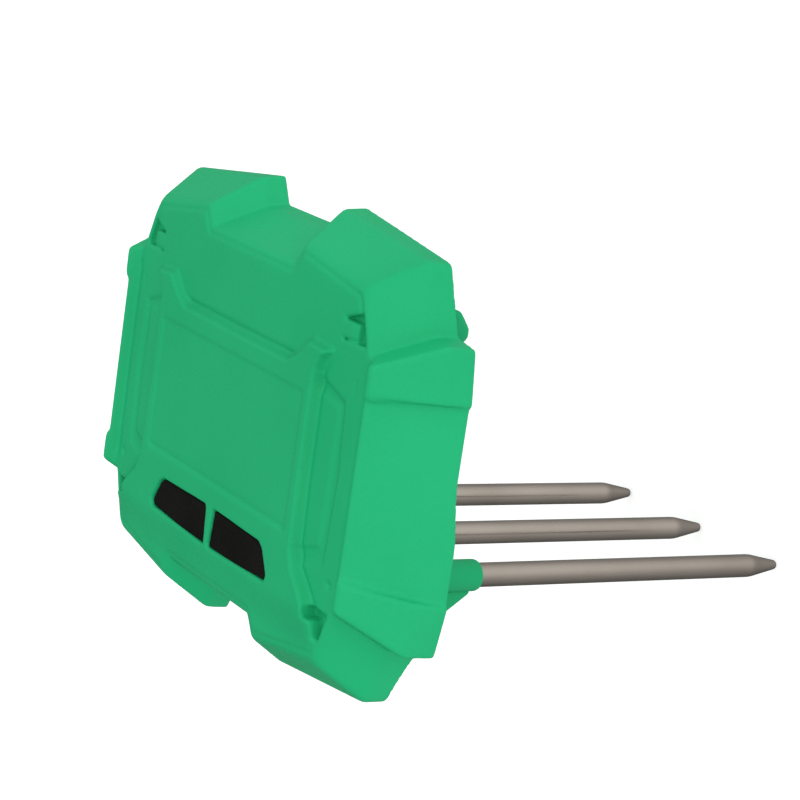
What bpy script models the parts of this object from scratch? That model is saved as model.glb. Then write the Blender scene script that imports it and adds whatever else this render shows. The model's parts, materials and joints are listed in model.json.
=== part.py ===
"""Soil moisture sensor with three steel probes, a clip-on cover and two push buttons.

Z points up out of the soil, the face with the buttons looks up, and Y runs towards the top of the face.
The origin is the middle of the flat underside that rests on the soil.
All sizes are in millimetres; MM turns them into metres when a shape is made.
"""

import math

import bmesh
import bpy
from mathutils import Matrix, Vector

MM = 0.001
GAP = 0.35                  # clearance between neighbouring pieces
SINK = 0.4                  # how far a joined shape reaches into its neighbour
OVER = 1.0                  # how far a cutter passes the surface that it opens

# Cover
FACE_Z = 35.0               # middle of the face above the soil plane
WALL = 2.4
CEILING_DEPTH = 3.4
CEILING_Z = FACE_Z - CEILING_DEPTH      # inside of the face
# Corners of a quarter of the outline, from the grip notch to the side wall. Each has (x, y, depth) at the
# face, at the crease where the drafted walls turn into the skirt, and at the rear rim, and then how far the
# rim sits down the face, because the side bands slant downwards on both halves.
COVER_CORNERS = (
    ((20.9, 41.7, 0.3), (16.2, 48.6, 12.4), (15.9, 49.4, 18.6), 0.0),     # notch floor
    ((24.2, 46.8, 0.6), (19.6, 55.3, 12.6), (19.8, 55.8, 18.8), 0.0),     # shoulder, inner top
    ((51.8, 43.0, 1.4), (57.6, 51.3, 13.8), (57.6, 51.2, 19.6), 0.6),     # shoulder, outer top
    ((57.3, 29.2, 1.0), (61.3, 36.1, 15.0), (62.0, 36.9, 20.8), 1.8),     # shoulder, foot
    ((62.4, 28.4, 0.0), (68.0, 35.8, 15.6), (67.4, 35.6, 22.0), 2.0),     # band, outer edge
    ((62.8, 20.7, 0.0), (68.4, 22.5, 15.6), (69.3, 22.8, 22.0), 2.0),     # band, inner edge
    ((61.4, 20.3, 0.1), (66.6, 22.2, 15.6), (68.3, 22.5, 22.0), 2.0),     # side wall
)
FACE, CREASE, RIM, DRIFT = range(4)
CREASE_DRIFT = 0.7          # share of the drift that is reached at the crease

# Raised frame on the face, right half from the middle of its top bar
FRAME_Z = FACE_Z + 1.35
FRAME_HALF = (
    (26.5, 21.8), (30.4, 24.2), (34.8, 28.3), (44.5, 28.0), (40.4, 24.4), (39.0, 18.5),
    (39.6, -1.5), (40.2, -20.2), (42.2, -24.2), (46.4, -28.0), (32.0, -30.6), (0.0, -33.4),
)
PANEL_HALF_X = 36.2
PANEL_TOP_Y = 16.1
PANEL_BOTTOM_Y = -16.4
PANEL_RECESS = 0.35
SIDE_POCKET = ((36.0, 26.5), (59.2, 26.5), (59.6, -27.0), (38.0, -27.0))
SIDE_POCKET_DEPTH = 1.5
BUTTON_WINDOW = (
    (1.8, -22.4), (25.6, -22.9), (27.6, -24.2), (29.2, -26.6), (30.8, -29.6), (30.0, -31.3),
    (14.5, -32.6), (0.9, -32.3),
)

# Latches: each corner of the face has a recess with a tongue in it, and behind the recess a leg that plugs
# into a post of the rear housing. The recess is given for the upper right corner and mirrored to the others;
# its tongue sits towards the lower end of the face on both halves.
LATCH_RECESS = ((45.7, 30.5), (55.5, 30.9), (53.6, 38.1), (50.3, 37.3), (45.7, 35.5))
LATCH_FLOOR_Z = 31.5
LATCH_PAD_Z = 29.8
LATCH_PAD_GROWTH = 1.3
TONGUE_X = (45.0, 50.0)
TONGUE_Y = {1: (31.2, 35.1), -1: (-37.4, -33.4)}
TONGUE_TOP_Z = 33.5
LEG_X = (48.8, 50.8)
LEG_Y = (33.4, 35.7)
LEG_BOTTOM_Z = 9.0

# Rear housing; each outline is a right half, top to bottom
TUB_FLOOR_HALF = ((34.5, 36.5), (46.5, 22.0), (46.5, -24.0), (33.0, -43.0))
TUB_RIM_HALF = ((38.0, 39.5), (53.5, 23.0), (53.5, -25.0), (37.0, -43.5))
TUB_FLARE_Z = 10.0
TUB_RIM_Z = 19.9
TUB_WALL = 2.4
FLANGE_Z = (14.8, 17.0)
FLANGE_MARGIN = 3.0         # from the cover's outline to the flange's
SEAL_RIB = (0.2, 2.0)       # the rib's two faces, inside the outline of the tub's rim
GASKET = (0.3, 2.1)
GASKET_THICKNESS = 1.7
POST_CENTRE = (50.0, 35.3)
POST_SIZE = (8.2, 8.2)
POST_ROUNDING = 2.6
POST_BOTTOM_Z = 5.3
POCKET_FLOOR_Z = 7.6
STANDOFF_XY = ((38.0, 20.0), (38.0, -20.0), (-38.0, 20.0), (-38.0, -20.0))
STANDOFF_RADIUS = 3.2
STANDOFF_HOLE_RADIUS = 1.4
STANDOFF_HOLE_DEPTH = 9.0

# Probes
PROBE_X = {"left": -32.6, "centre": 0.0, "right": 32.6}
PROBE_Y = -30.5
PROBE_RADIUS = 3.0
PROBE_TIP_Z = -116.1
PROBE_TAPER = 9.2
PROBE_TIP_RADIUS = 1.2
STUD_RADIUS = 2.5
STUD_Z = (5.0, 13.0)
SOCKET_RADIUS = 3.95
SOCKET_END_Z = -21.2
SOCKET_CHAMFER = 1.6
SOCKET_PAD = (6.6, 5.0)     # radius and top of the pad round each probe inside the tub
SEAL_RECESS = (4.75, 2.6)   # radius and floor of the seal's recess in that pad
SEAL_SECTION = (3.3, 4.45, 2.95, 4.7)
TERMINAL_Z = (5.35, 6.15)
TERMINAL_RADIUS = 4.9
STRAP_HALF_WIDTH = 1.6
STRAP_OFFSET = 7.2          # from the probe's axis to the strap's outer face
STRAP_THICKNESS = 0.8
NUT_RADIUS = 4.4
NUT_Z = (6.5, 10.5)
GUSSET = ((-31.5, 1.0), (-42.6, 1.0), (-42.6, -8.0), (-34.4, -17.6), (-31.5, -17.6))
GUSSET_THICKNESS = 3.0

# Electronics and battery
BOARD_Z = (20.9, 22.5)
BOARD_HALF = ((35.0, 35.0), (47.5, 21.0), (47.5, -23.0), (33.0, -39.0))
CELL_RADIUS = 7.1
CELL_LENGTH = 49.2
CELL_Y = (-11.8, 3.2, 18.2)
CELL_Z = 11.6
CELL_SHIFT = 1.5            # each cell sits towards the plate at its button end
SPRING_LENGTH = 1.9
HOLDER_X = 28.8
HOLDER_Y = (-20.4, 26.8)
HOLDER_Z = (2.8, 12.5)
HOLDER_END = 1.6
HOLDER_SIDE = 1.2
SCREW_HEAD = (2.4, 1.7)     # radius and height
SCREW_SLOT = (1.5, 0.3, 0.9)    # half length, half width, height of its floor in the head

# Buttons
BUTTON_TOP_Z = 35.7
BUTTON_FLANGE_Z = (29.6, 31.2)
BUTTON_STEM_Z = 24.35
BUTTON_STEM_XY = (14.5, -26.8)
BUTTON_STEM_RADIUS = 3.0
BUTTON_FLANGE_GROWTH = 1.3
BUTTON_FLANGE_INNER_X = 0.5
PILL_RADIUS = 2.6
PILL_THICKNESS = 0.5
RETAINER_X = 38.0
RETAINER_Y = (-31.0, -22.4)
RETAINER_Z = (26.2, 27.6)
RETAINER_SCREW_XY = (35.0, -26.8)
RETAINER_HOLE_RADIUS = 1.5
BOSS_RADIUS = 2.6
BOSS_HOLE_RADIUS = 1.25

SHARP_ANGLE = math.radians(32)


def clear_scene():
    for obj in list(bpy.data.objects):
        bpy.data.objects.remove(obj, do_unlink=True)


def new_collection(name):
    collection = bpy.data.collections.new(name)
    bpy.context.scene.collection.children.link(collection)
    return collection


def new_material(name, colour, roughness, metallic=0.0):
    material = bpy.data.materials.new(name)
    material.use_nodes = True
    shader = material.node_tree.nodes["Principled BSDF"]
    shader.inputs["Base Color"].default_value = (*colour, 1.0)
    shader.inputs["Roughness"].default_value = roughness
    shader.inputs["Metallic"].default_value = metallic
    return material


clear_scene()
PARTS = new_collection("soil_moisture_sensor")
CUTTERS = new_collection("cutters")

GREEN = new_material("green_plastic", (0.03, 0.42, 0.18), 0.45)
BLACK_RUBBER = new_material("black_rubber", (0.012, 0.012, 0.011), 0.7)
BLACK_PLASTIC = new_material("black_plastic", (0.02, 0.02, 0.02), 0.5)
STEEL = new_material("steel", (0.48, 0.46, 0.42), 0.3, 1.0)
BRASS = new_material("brass", (0.7, 0.5, 0.2), 0.3, 1.0)
BOARD = new_material("board", (0.01, 0.16, 0.08), 0.45)
CELL_SLEEVE = new_material("cell_sleeve", (0.16, 0.17, 0.18), 0.35)
RED = new_material("red_insulation", (0.5, 0.02, 0.02), 0.5)


# ---------------------------------------------------------------- shape helpers

def link(obj, material, cutter=False):
    """Files an object with the parts, or hides it with the cutters."""
    for collection in list(obj.users_collection):
        collection.objects.unlink(obj)
    (CUTTERS if cutter else PARTS).objects.link(obj)
    obj.hide_render = cutter
    obj.display_type = "WIRE" if cutter else "TEXTURED"
    if material and not cutter:
        obj.data.materials.clear()
        obj.data.materials.append(material)
    return obj


def mesh_object(name, bm, material, cutter=False):
    bmesh.ops.recalc_face_normals(bm, faces=bm.faces)
    mesh = bpy.data.meshes.new(name)
    bm.to_mesh(mesh)
    bm.free()
    return link(bpy.data.objects.new(name, mesh), material, cutter)


def smooth(obj):
    obj.data.shade_smooth()
    obj.data.set_sharp_from_angle(angle=SHARP_ANGLE)
    return obj


def box(name, x, y, z, material=None, cutter=False):
    """A box between the limits x, y and z, each a (low, high) pair."""
    bm = bmesh.new()
    bmesh.ops.create_cube(bm, size=1.0)
    size = [(high - low) * MM for low, high in (x, y, z)]
    middle = [(high + low) / 2 * MM for low, high in (x, y, z)]
    bmesh.ops.scale(bm, vec=size, verts=bm.verts)
    bmesh.ops.translate(bm, vec=middle, verts=bm.verts)
    return mesh_object(name, bm, material, cutter)


def cylinder(name, radius, low, high, at=(0.0, 0.0), material=None, cutter=False, sides=24, top_radius=None):
    """An upright cylinder or cone between two heights."""
    bm = bmesh.new()
    top = radius if top_radius is None else top_radius
    place = Matrix.Translation(Vector((at[0], at[1], (low + high) / 2)) * MM)
    bmesh.ops.create_cone(bm, cap_ends=True, segments=sides, radius1=radius * MM, radius2=top * MM,
                          depth=(high - low) * MM, matrix=place)
    return smooth(mesh_object(name, bm, material, cutter))


def plate(name, outline, low, high, material=None, cutter=False):
    """A flat outline, as a filled 2D curve, thickened between two heights and made a mesh."""
    curve = bpy.data.curves.new(name, "CURVE")
    curve.dimensions = "2D"
    curve.fill_mode = "BOTH"
    curve.extrude = (high - low) / 2 * MM
    spline = curve.splines.new("POLY")
    spline.points.add(len(outline) - 1)
    for point, (x, y) in zip(spline.points, outline):
        point.co = (x * MM, y * MM, 0.0, 1.0)
    spline.use_cyclic_u = True
    source = bpy.data.objects.new(name + "_outline", curve)
    PARTS.objects.link(source)
    mesh = bpy.data.meshes.new_from_object(source.evaluated_get(bpy.context.evaluated_depsgraph_get()))
    bpy.data.objects.remove(source)
    bm = bmesh.new()
    bm.from_mesh(mesh)
    bpy.data.meshes.remove(mesh)
    bmesh.ops.remove_doubles(bm, verts=bm.verts, dist=1e-6)
    bmesh.ops.translate(bm, vec=(0.0, 0.0, (low + high) / 2 * MM), verts=bm.verts)
    return mesh_object(name, bm, material, cutter)


def loft(name, rings, material=None, cutter=False, crown=None, foot=None):
    """A closed solid through rings of equal length; crown and foot are points that peak its two ends."""
    bm = bmesh.new()
    rows = [[bm.verts.new(Vector(point) * MM) for point in ring] for ring in rings]
    count = len(rows[0])
    for upper, lower in zip(rows, rows[1:]):
        for i in range(count):
            j = (i + 1) % count
            bm.faces.new((upper[i], upper[j], lower[j], lower[i]))
    for row, point in ((rows[0], crown), (rows[-1], foot)):
        if point is None:
            bm.faces.new(row)
            continue
        peak = bm.verts.new(Vector(point) * MM)
        for i in range(count):
            bm.faces.new((row[i], row[(i + 1) % count], peak))
    return mesh_object(name, bm, material, cutter)


def lathe(name, profile, at=(0.0, 0.0), material=None, cutter=False, closed=False, sides=24):
    """A turned shape: profile holds (radius, z) down the outer side, turned about an upright axis."""
    bm = bmesh.new()
    verts = [bm.verts.new((radius * MM, 0.0, z * MM)) for radius, z in profile]
    for a, b in zip(verts, verts[1:]):
        bm.edges.new((a, b))
    if closed:
        bm.edges.new((verts[-1], verts[0]))
    mesh = bpy.data.meshes.new(name)
    bm.to_mesh(mesh)
    bm.free()
    obj = link(bpy.data.objects.new(name, mesh), material, cutter)
    obj.location = Vector((at[0], at[1], 0.0)) * MM
    screw = obj.modifiers.new("turn", "SCREW")
    screw.steps = sides
    screw.render_steps = sides
    screw.use_merge_vertices = True
    screw.merge_threshold = 0.00001
    screw.use_smooth_shade = True
    return obj


def wire(name, points, radius, material):
    """A round wire along straight runs between points."""
    curve = bpy.data.curves.new(name, "CURVE")
    curve.dimensions = "3D"
    curve.bevel_depth = radius * MM
    curve.bevel_resolution = 1
    curve.use_fill_caps = True
    curve.render_resolution_u = 0
    spline = curve.splines.new("POLY")
    spline.points.add(len(points) - 1)
    for target, point in zip(spline.points, points):
        target.co = (*(value * MM for value in point), 1.0)
    return link(bpy.data.objects.new(name, curve), material)


def set_origin(obj, at):
    """Moves an object's origin to a point without moving the shape."""
    point = Vector(at) * MM
    obj.data.transform(Matrix.Translation(-point))
    obj.location = point


def boolean(target, tool, operation="DIFFERENCE"):
    modifier = target.modifiers.new(tool.name, "BOOLEAN")
    modifier.operation = operation
    modifier.object = tool
    modifier.solver = "EXACT"


def cut(target, tool):
    boolean(target, tool, "DIFFERENCE")


def group(name, shapes):
    """Puts the evaluated meshes of separate shapes into one hidden tool."""
    bm = bmesh.new()
    depsgraph = bpy.context.evaluated_depsgraph_get()
    for shape in shapes:
        mesh = bpy.data.meshes.new_from_object(shape.evaluated_get(depsgraph))
        mesh.transform(shape.matrix_world)
        bm.from_mesh(mesh)
        bpy.data.meshes.remove(mesh)
    for shape in shapes:
        shape.hide_render = True
    return mesh_object(name, bm, None, cutter=True)


def join(target, tool):
    boolean(target, tool, "UNION")


# ---------------------------------------------------------------- outline helpers

def both_sides(half):
    """Closes a right-half outline with its mirror image."""
    return list(half) + [(-x, y) for x, y in reversed(half) if abs(x) > 1e-6]


def mirrored(outline):
    return [(-x, y) for x, y in reversed(outline)]


def inset(outline, distance):
    """Moves every edge of a closed outline inwards by a distance, with mitred corners."""
    count = len(outline)
    area = sum(outline[i - 1][0] * outline[i][1] - outline[i][0] * outline[i - 1][1] for i in range(count))
    turn = 1.0 if area > 0 else -1.0
    moved = []
    for i in range(count):
        before, here, after = (Vector(outline[k % count]) for k in (i - 1, i, i + 1))
        first = (here - before).normalized()
        second = (after - here).normalized()
        normals = [Vector((-edge.y, edge.x)) * turn for edge in (first, second)]
        middle = (normals[0] + normals[1]).normalized()
        moved.append(tuple(here + middle * distance / max(middle.dot(normals[0]), 0.3)))
    return moved


def at_height(outline, z):
    return [(x, y, z) for x, y in outline]


def corner_at(corner, depth):
    """A corner of the cover's outline (x, y, drift) at a depth behind the face."""
    if depth <= corner[CREASE][2]:
        near, far, drifts = corner[FACE], corner[CREASE], (0.0, CREASE_DRIFT)
    else:
        near, far, drifts = corner[CREASE], corner[RIM], (CREASE_DRIFT, 1.0)
    share = (depth - near[2]) / (far[2] - near[2])
    x, y = (near[i] * (1 - share) + far[i] * share for i in (0, 1))
    return x, y, corner[DRIFT] * (drifts[0] * (1 - share) + drifts[1] * share)


def cover_ring(depths):
    """The cover's closed outline through its corners, each at its own depth behind the face."""
    right = []
    for sign in (1, -1):
        quarter = []
        for corner, depth in zip(COVER_CORNERS, depths):
            x, y, drift = corner_at(corner, depth)
            quarter.append((x, sign * y - drift, FACE_Z - depth))
        right += quarter[::sign]
    return right + [(-x, y, z) for x, y, z in reversed(right)]


def cover_section(depth):
    """The cover's flat outline at one depth."""
    return [(x, y) for x, y, _ in cover_ring([depth] * len(COVER_CORNERS))]


def level_depths(level, extra=0.0):
    return [corner[level][2] + extra for corner in COVER_CORNERS]


# ---------------------------------------------------------------- cover

def cover_shell():
    rings = [cover_ring(level_depths(level)) for level in (FACE, CREASE, RIM)]
    foot = (0.0, 0.0, FACE_Z - COVER_CORNERS[0][RIM][2])
    return loft("front_cover", rings, GREEN, crown=(0.0, 0.0, FACE_Z), foot=foot)


def cover_cavity():
    depths = [CEILING_DEPTH] * len(COVER_CORNERS), level_depths(CREASE), level_depths(RIM, 1.0)
    rings = []
    for ring in (cover_ring(row) for row in depths):
        inner = inset([(x, y) for x, y, _ in ring], WALL)
        rings.append([(x, y, z) for (x, y), (_, _, z) in zip(inner, ring)])
    foot = (0.0, 0.0, rings[-1][0][2])
    return loft("cover_cavity", rings, cutter=True, foot=foot)


def front_cover():
    cover = cover_shell()
    pocket_z = FACE_Z - SIDE_POCKET_DEPTH, FRAME_Z + OVER
    for side, flip in (("left", mirrored), ("right", list)):
        cut(cover, plate(f"pocket_{side}", flip(SIDE_POCKET), *pocket_z, cutter=True))
    frame_z = FACE_Z - SIDE_POCKET_DEPTH - SINK, FRAME_Z
    join(cover, plate("frame_relief", both_sides(FRAME_HALF), *frame_z, cutter=True))
    panel = (-PANEL_HALF_X, PANEL_HALF_X), (PANEL_BOTTOM_Y, PANEL_TOP_Y)
    cut(cover, box("panel_recess", *panel, (FRAME_Z - PANEL_RECESS, FRAME_Z + OVER), cutter=True))
    cut(cover, cover_cavity())
    window_z = CEILING_Z - OVER, FRAME_Z + OVER
    for side, flip in (("left", mirrored), ("right", list)):
        cut(cover, plate(f"window_{side}", flip(BUTTON_WINDOW), *window_z, cutter=True))
    for x_sign in (-1, 1):
        for y_sign in (-1, 1):
            latch(cover, x_sign, y_sign)
    seal_rib(cover)
    for side in (-1, 1):
        retainer_boss(cover, side)
    return cover


def span(limits, sign):
    """Limits mirrored to the side named by sign."""
    return tuple(sorted(sign * value for value in limits))


def latch(cover, x_sign, y_sign):
    """A corner recess on a pad, with a tongue in it and a leg behind it."""
    name = corner_name(x_sign, y_sign)
    recess = [(x * x_sign, y * y_sign) for x, y in LATCH_RECESS][::x_sign * y_sign]
    pad = inset(recess, -LATCH_PAD_GROWTH)
    join(cover, plate("latch_pad_" + name, pad, LATCH_PAD_Z, CEILING_Z + SINK, cutter=True))
    cut(cover, plate("latch_recess_" + name, recess, LATCH_FLOOR_Z, FRAME_Z + OVER, cutter=True))
    tongue_z = LATCH_FLOOR_Z - SINK, TONGUE_TOP_Z
    join(cover, box("tongue_" + name, span(TONGUE_X, x_sign), TONGUE_Y[y_sign], tongue_z, cutter=True))
    leg_z = LEG_BOTTOM_Z, LATCH_PAD_Z + SINK
    join(cover, box("leg_" + name, span(LEG_X, x_sign), span(LEG_Y, y_sign), leg_z, cutter=True))


def seal_rib(cover):
    """The rib inside the cover that presses the gasket onto the rim of the tub."""
    outline = both_sides(TUB_RIM_HALF)
    outside, inside = (inset(outline, distance) for distance in SEAL_RIB)
    rib = plate("seal_rib", outside, TUB_RIM_Z + GASKET_THICKNESS + 2 * GAP, CEILING_Z + SINK, cutter=True)
    cut(rib, plate("seal_rib_inside", inside, TUB_RIM_Z, FACE_Z, cutter=True))
    join(cover, rib)


def retainer_boss(cover, side):
    """A boss under the face that takes a screw of the button retainer."""
    at = (side * RETAINER_SCREW_XY[0], RETAINER_SCREW_XY[1])
    boss_z = RETAINER_Z[1] + GAP, CEILING_Z + SINK
    hole_z = RETAINER_Z[1] - OVER, CEILING_Z
    join(cover, cylinder(f"boss_{side}", BOSS_RADIUS, *boss_z, at, cutter=True, sides=16))
    cut(cover, cylinder(f"boss_hole_{side}", BOSS_HOLE_RADIUS, *hole_z, at, cutter=True, sides=12))


# ---------------------------------------------------------------- rear housing

def rear_housing():
    floor = both_sides(TUB_FLOOR_HALF)
    rim = both_sides(TUB_RIM_HALF)
    rings = [at_height(rim, TUB_RIM_Z), at_height(rim, TUB_FLARE_Z), at_height(floor, 0.0)]
    housing = loft("rear_housing", rings, GREEN)
    flange = inset(cover_section(FACE_Z - FLANGE_Z[1]), FLANGE_MARGIN)
    join(housing, plate("flange", flange, *FLANGE_Z, cutter=True))
    corners = [(x_sign, y_sign) for x_sign in (-1, 1) for y_sign in (-1, 1)]
    join(housing, group("posts", [post(*corner) for corner in corners]))
    inside = [at_height(inset(rim, TUB_WALL), TUB_RIM_Z + OVER), at_height(inset(rim, TUB_WALL), TUB_FLARE_Z),
              at_height(inset(floor, TUB_WALL), TUB_WALL)]
    cut(housing, loft("tub_inside", inside, cutter=True))
    join(housing, group("inner_posts", [inner_post(at) for at in STANDOFF_XY]))
    join(housing, group("sockets", [socket(side, x) for side, x in PROBE_X.items()]))
    openings = [pocket(*corner) for corner in corners]
    openings += [standoff_hole(at) for at in STANDOFF_XY]
    openings += [bore(side, x) for side, x in PROBE_X.items()]
    cut(housing, group("openings", openings))
    return housing


def corner_name(x_sign, y_sign):
    return f"{'upper' if y_sign > 0 else 'lower'}_{'right' if x_sign > 0 else 'left'}"


def post(x_sign, y_sign):
    """A round-ended corner post below the flange."""
    x, y = POST_CENTRE[0] * x_sign, POST_CENTRE[1] * y_sign
    half_x, half_y = POST_SIZE[0] / 2, POST_SIZE[1] / 2
    body = box("post_" + corner_name(x_sign, y_sign), (x - half_x, x + half_x), (y - half_y, y + half_y),
               (POST_BOTTOM_Z, FLANGE_Z[0] + SINK), cutter=True)
    bevel = body.modifiers.new("round", "BEVEL")
    bevel.width = POST_ROUNDING * MM
    bevel.segments = 2
    return body


def pocket(x_sign, y_sign):
    """The hole in a corner post that takes the cover's leg."""
    sides = [(low - GAP, high + GAP) for low, high in (span(LEG_X, x_sign), span(LEG_Y, y_sign))]
    return box("pocket_" + corner_name(x_sign, y_sign), *sides, (POCKET_FLOOR_Z, FLANGE_Z[1] + OVER),
               cutter=True)


def inner_post(at):
    """A standoff of the board on the tub's floor."""
    post_z = TUB_WALL - SINK, BOARD_Z[0] - GAP
    return cylinder("inner_post", STANDOFF_RADIUS, *post_z, at, cutter=True, sides=20)


def standoff_hole(at):
    low = BOARD_Z[0] - STANDOFF_HOLE_DEPTH
    return cylinder("standoff_hole", STANDOFF_HOLE_RADIUS, low, BOARD_Z[0] + OVER, at, cutter=True, sides=12)


def socket(side, x):
    """A probe socket below the floor with its gusset, and a pad for the seal inside."""
    pad_radius, pad_z = SOCKET_PAD
    middle = TUB_WALL / 2
    profile = ((0.0, pad_z), (pad_radius, pad_z), (pad_radius, middle), (SOCKET_RADIUS, middle),
               (SOCKET_RADIUS, SOCKET_END_Z + SOCKET_CHAMFER), (SOCKET_RADIUS - 0.55, SOCKET_END_Z),
               (0.0, SOCKET_END_Z))
    body = lathe(f"socket_{side}", profile, (x, PROBE_Y), cutter=True)
    rib = plate(f"gusset_{side}", GUSSET, -GUSSET_THICKNESS / 2, GUSSET_THICKNESS / 2, cutter=True)
    upright = Matrix(((0, 0, 1, 0), (1, 0, 0, 0), (0, 1, 0, 0), (0, 0, 0, 1)))
    rib.data.transform(Matrix.Translation((x * MM, 0, 0)) @ upright)
    join(body, rib)
    return body


def bore(side, x):
    """The hole for a probe, with a wider recess for its seal at the top."""
    top, bottom = SOCKET_PAD[1] + OVER, SOCKET_END_Z - OVER
    recess_radius, recess_z = SEAL_RECESS
    radius = PROBE_RADIUS + GAP
    profile = ((0.0, top), (recess_radius, top), (recess_radius, recess_z), (radius, recess_z),
               (radius, bottom), (0.0, bottom))
    return lathe(f"bore_{side}", profile, (x, PROBE_Y), cutter=True)


def housing_gasket():
    outside, inside = (inset(both_sides(TUB_RIM_HALF), distance) for distance in GASKET)
    low = TUB_RIM_Z + GAP
    high = low + GASKET_THICKNESS
    gasket = plate("housing_gasket", outside, low, high, BLACK_RUBBER)
    cut(gasket, plate("gasket_inside", inside, low - OVER, high + OVER, cutter=True))


# ---------------------------------------------------------------- probes

def probe(side, x):
    at = (x, PROBE_Y)
    rod = ((0.0, STUD_Z[1]), (STUD_RADIUS - 0.5, STUD_Z[1]), (STUD_RADIUS, STUD_Z[1] - 0.5),
           (STUD_RADIUS, STUD_Z[0]), (PROBE_RADIUS, STUD_Z[0]), (PROBE_RADIUS, PROBE_TIP_Z + PROBE_TAPER),
           (PROBE_TIP_RADIUS, PROBE_TIP_Z + 0.4), (PROBE_TIP_RADIUS - 0.4, PROBE_TIP_Z), (0.0, PROBE_TIP_Z))
    lathe(f"probe_{side}", rod, at, STEEL)
    seal = ring_profile(*SEAL_SECTION, 0.4)
    lathe(f"probe_seal_{side}", seal, at, BLACK_RUBBER, closed=True)
    terminal(side, at)
    nut(f"probe_nut_{side}", at)


def ring_profile(inner, outer, low, high, chamfer):
    """A closed ring section with chamfered corners, outer side first."""
    return ((outer - chamfer, high), (outer, high - chamfer), (outer, low + chamfer), (outer - chamfer, low),
            (inner + chamfer, low), (inner, low + chamfer), (inner, high - chamfer), (inner + chamfer, high))


def terminal(side, at):
    """A brass ring under the nut with a strap that rises to the board."""
    width = at[0] - STRAP_HALF_WIDTH, at[0] + STRAP_HALF_WIDTH
    strap_y = at[1] - STRAP_OFFSET
    strap_z = TERMINAL_Z[0], BOARD_Z[0] - GAP
    ring = cylinder(f"probe_terminal_{side}", TERMINAL_RADIUS, *TERMINAL_Z, at, BRASS, sides=20)
    foot = box(f"strap_foot_{side}", width, (strap_y, at[1] - PROBE_RADIUS), TERMINAL_Z, cutter=True)
    join(ring, foot)
    join(ring, box(f"strap_{side}", width, (strap_y, strap_y + STRAP_THICKNESS), strap_z, cutter=True))
    hole = f"ring_hole_{side}", STUD_RADIUS + GAP, TERMINAL_Z[0] - OVER, TERMINAL_Z[1] + OVER
    cut(ring, cylinder(*hole, at, cutter=True, sides=20))


def nut(name, at):
    body = cylinder(name, NUT_RADIUS, *NUT_Z, at, STEEL, sides=6)
    bore_z = NUT_Z[0] - OVER, NUT_Z[1] + OVER
    cut(body, cylinder(name + "_bore", STUD_RADIUS + GAP, *bore_z, at, cutter=True, sides=20))


# ---------------------------------------------------------------- buttons

def button(side, sign):
    """A rubber cap that fills its window, with a flange under the face and a stem to the board."""
    flip = list if sign > 0 else mirrored
    window = flip(BUTTON_WINDOW)
    cap = plate(f"button_{side}", inset(window, GAP), BUTTON_FLANGE_Z[1] - SINK, BUTTON_TOP_Z, BLACK_RUBBER)
    join(cap, plate(f"button_flange_{side}", flange_outline(window, sign), *BUTTON_FLANGE_Z, cutter=True))
    at = (sign * BUTTON_STEM_XY[0], BUTTON_STEM_XY[1])
    stem_z = BUTTON_STEM_Z, BUTTON_FLANGE_Z[0] + SINK
    join(cap, cylinder(f"button_stem_{side}", BUTTON_STEM_RADIUS, *stem_z, at, cutter=True, sides=20))
    pill_z = BUTTON_STEM_Z - GAP - PILL_THICKNESS, BUTTON_STEM_Z - GAP
    pill = cylinder(f"contact_pill_{side}", PILL_RADIUS, *pill_z, at, BLACK_PLASTIC, sides=20)
    for piece in (cap, pill):
        set_origin(piece, (*at, BUTTON_TOP_Z))


def flange_outline(window, sign):
    """The window outline grown under the face, but kept off the other button at the middle."""
    grown = inset(window, -BUTTON_FLANGE_GROWTH)
    return [(sign * max(sign * x, BUTTON_FLANGE_INNER_X), y) for x, y in grown]


def button_retainer():
    """The bar that holds both buttons in the cover, with a hole for each stem and each screw."""
    retainer = box("button_retainer", (-RETAINER_X, RETAINER_X), RETAINER_Y, RETAINER_Z, BLACK_PLASTIC)
    through = RETAINER_Z[0] - OVER, RETAINER_Z[1] + OVER
    for side, sign in (("left", -1), ("right", 1)):
        at = (sign * BUTTON_STEM_XY[0], BUTTON_STEM_XY[1])
        hole = f"stem_hole_{side}", BUTTON_STEM_RADIUS + GAP, *through
        cut(retainer, cylinder(*hole, at, cutter=True, sides=20))
        at = (sign * RETAINER_SCREW_XY[0], RETAINER_SCREW_XY[1])
        hole = f"retainer_hole_{side}", RETAINER_HOLE_RADIUS, *through
        cut(retainer, cylinder(*hole, at, cutter=True, sides=12))
        screw(f"retainer_screw_{side}", at, RETAINER_Z[0] - GAP, -1, 0.9, 5.0)


def screw(name, at, seat_z, direction, radius, length):
    """A pan-head screw whose head stands on seat_z and points up (1) or down (-1)."""
    head_radius, head = SCREW_HEAD
    body = cylinder(name, head_radius, *sorted((seat_z, seat_z + head * direction)), at, STEEL, sides=20)
    shank = sorted((seat_z + SINK * direction, seat_z - length * direction))
    join(body, cylinder(name + "_shank", radius, *shank, at, cutter=True, sides=12))
    half_length, half_width, floor = SCREW_SLOT
    slot = sorted((seat_z + floor * direction, seat_z + (head + OVER) * direction))
    for letter, half_x, half_y in (("a", half_length, half_width), ("b", half_width, half_length)):
        sides = (at[0] - half_x, at[0] + half_x), (at[1] - half_y, at[1] + half_y)
        cut(body, box(f"{name}_slot_{letter}", *sides, slot, cutter=True))


# ---------------------------------------------------------------- electronics

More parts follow.
